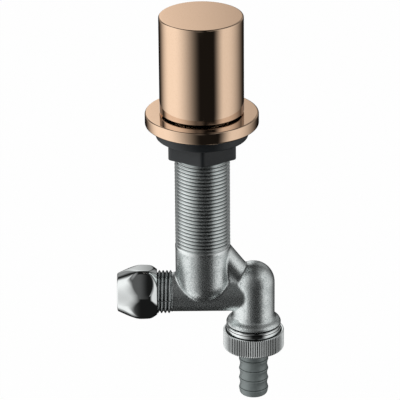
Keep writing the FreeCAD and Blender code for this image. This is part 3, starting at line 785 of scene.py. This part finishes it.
def make_thread(name, crest_r, start, end, place, fade_start, fade_end, material, band=0.0):
    """Helical pipe thread with round crests and roots, drawn as a sleeve from start to end.

    The thread fades out over fade_start and fade_end; band is a plain turned length below it.
    """
    rows_per_turn = 12
    columns = 160
    crest_shape = 0.8
    root_r = crest_r - thread_depth
    inner_r = root_r - 0.25 * MM
    band_lift = 0.13 * MM
    band_edge = 0.3 * MM
    first = int(start / PITCH * rows_per_turn) - rows_per_turn
    last = int(end / PITCH * rows_per_turn) + rows_per_turn
    points = []
    for i in range(first, last):
        phase = (i % rows_per_turn) / rows_per_turn
        profile = thread_depth * (1 - (0.5 + 0.5 * math.cos(TURN * phase)) ** crest_shape)
        for k in range(columns):
            angle = TURN * k / columns
            along = PITCH * (i / rows_per_turn - k / columns)
            beyond = along < start or along > end
            along = min(max(along, start), end)
            above = along - start - band
            if band:
                groove = profile * limited(above / fade_start)
                lift = band_lift * limited(1 - above / band_edge)
            else:
                groove = thread_depth - (thread_depth - profile) * min(above / fade_start, 1)
                lift = 0.0
            ridge = (thread_depth - groove) * limited((end - along) / fade_end)
            r = inner_r if beyond else root_r + ridge + lift
            points.append(place(r, angle, along))
    faces = []
    rows = last - first
    seam = columns - 1
    for i in range(rows - 1):
        a, b = i * columns, (i + 1) * columns
        faces += [(a + k, a + k + 1, b + k + 1, b + k) for k in range(seam)]
    for i in range(rows - 1 - rows_per_turn):
        a, b = i * columns, (i + rows_per_turn) * columns
        faces.append((a + seam, b, b + columns, a + columns + seam))
    mesh_piece(name, points, faces, material, "body", "valve_body", sharp=80)


def make_threads():
    body_low, body_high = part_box("valve_body")
    neck = 1.1 * MM
    end_gap = 0.1 * MM
    top_gap = 0.2 * MM
    make_thread("shank_thread", shank_r, shank_thread_end - neck, body_high.z - top_gap, upright(0),
                0.7 * PITCH, 0.6 * PITCH, thread_chrome, neck)
    make_thread("outlet_thread", shank_r, body_low.z + end_gap, collar_end, upright(outlet_x),
                0.6 * PITCH, 0.5 * PITCH, thread_chrome)
    make_thread("inlet_thread", inlet_r, inlet_thread_start, -body_low.x - end_gap, along_inlet,
                0.5 * PITCH, 0.6 * PITCH, inlet_shaded_chrome)


def bezier(corners, steps):
    """Points of a curve led by four corners."""
    points = []
    for i in range(steps + 1):
        t = i / steps
        weights = ((1 - t) ** 3, 3 * t * (1 - t) ** 2, 3 * t * t * (1 - t), t ** 3)
        r = sum(w * corner[0] for w, corner in zip(weights, corners))
        along = sum(w * corner[1] for w, corner in zip(weights, corners))
        points.append((r, along))
    return points


def make_outlet_end():
    """The leg's flare with its cast blend, and the plain turned collar between it and the thread."""
    leg_r = 10.25 * MM
    inner_r = leg_r - 1 * MM
    flare_r = 13.25 * MM
    relief_r = 12.35 * MM
    top, bottom = -99.8 * MM, -104.3 * MM
    flare_edge = 0.1 * MM
    relief_z = bottom - 0.35 * MM
    curve = [(leg_r - 0.02 * MM, top), (leg_r + 0.05 * MM, -102.4 * MM), (12.6 * MM, -101.9 * MM),
             (flare_r, bottom)]
    section = bezier(curve, 24)
    section += [(flare_r - flare_edge, bottom - 2 * flare_edge), (relief_r, relief_z)]
    section += [(inner_r, relief_z), (inner_r, top)]
    lathe("outlet_flare", section, upright(outlet_x), 160, cast_chrome, "body", "valve_body",
          sharp=60)
    edge = 0.3 * MM
    line = collar_top - 0.9 * MM
    line_r = shank_r - 0.25 * MM
    line_down, line_up, line_end = 0.12 * MM, 0.28 * MM, 0.4 * MM
    section = [(relief_r, collar_top), (shank_r - edge, collar_top), (shank_r, collar_top - edge)]
    section += [(shank_r, line), (line_r, line - line_down), (line_r, line - line_up)]
    section += [(shank_r, line - line_end), (shank_r, collar_end), (relief_r, collar_end)]
    lathe("outlet_collar", section, upright(outlet_x), 160, dull_chrome, "body", "valve_body",
          sharp=40)


def make_casting():
    """The casting: its solid, with the threads' lengths drawn in to their roots, remeshed and softened.

    The plain length of the inlet tube gets its cast skin: a little deeper and a little narrower.
    """
    mesh = frame["nodes"]["valve_body"].data.copy()
    work = bmesh.new()
    work.from_mesh(mesh)
    bmesh.ops.remove_doubles(work, verts=work.verts, dist=0.001 * MM)
    near = 0.03 * MM
    slack = 0.2 * MM
    sunk = 0.1 * MM
    shank_root = shank_r - thread_depth - sunk
    inlet_root = inlet_r - thread_depth - sunk
    tube_r = 9.4 * MM
    skin = 0.3 * MM
    for v in work.verts:
        about_shank = math.hypot(v.co.x, v.co.y)
        if v.co.z > shank_thread_end - slack and abs(about_shank - shank_r) < near:
            v.co.x *= shank_root / about_shank
            v.co.y *= shank_root / about_shank
        about_outlet = math.hypot(v.co.x - outlet_x, v.co.y)
        if v.co.z < collar_top and abs(about_outlet - shank_r) < near:
            v.co.x = outlet_x + (v.co.x - outlet_x) * shank_root / about_outlet
            v.co.y *= shank_root / about_outlet
        about_inlet = math.hypot(v.co.y, v.co.z - inlet_z)
        if -v.co.x > inlet_thread_start - slack and abs(about_inlet - inlet_r) < near:
            small = inlet_root / about_inlet
            v.co.y *= small
            v.co.z = inlet_z + (v.co.z - inlet_z) * small
        elif abs(about_inlet - tube_r) < near:
            v.co.y *= (tube_r - skin) / tube_r
            v.co.z = inlet_z + (v.co.z - inlet_z) * (tube_r + skin) / tube_r
    work.to_mesh(mesh)
    work.free()
    piece = bpy.data.objects.new("casting", mesh)
    bpy.context.scene.collection.objects.link(piece)
    remesh = piece.modifiers.new("skin", "REMESH")
    remesh.mode = "VOXEL"
    remesh.voxel_size = 0.5 * MM
    ease = piece.modifiers.new("ease", "SMOOTH")
    ease.factor = 0.5
    ease.iterations = 7
    thin = piece.modifiers.new("thin", "DECIMATE")
    thin.ratio = 0.5
    bpy.context.view_layer.update()
    graph = bpy.context.evaluated_depsgraph_get()
    made = bpy.data.meshes.new_from_object(piece.evaluated_get(graph))
    bpy.data.objects.remove(piece)
    made.name = "casting"
    place_piece("casting", made, cast_chrome, "body", "valve_body", sharp=80)


make_camera()
make_world()
make_floor()
make_lamp("key_lamp", place=(-0.9, -0.7, 1.0), size=0.8, power=9)
dress_solids()
make_handle()
make_rosette()
make_clamp_washer()
make_clamp_nut()
make_compression_nut()
make_union_nut()
make_hose_tail()
make_threads()
make_outlet_end()
make_casting()

bpy.context.scene.view_settings.view_transform = "Standard"
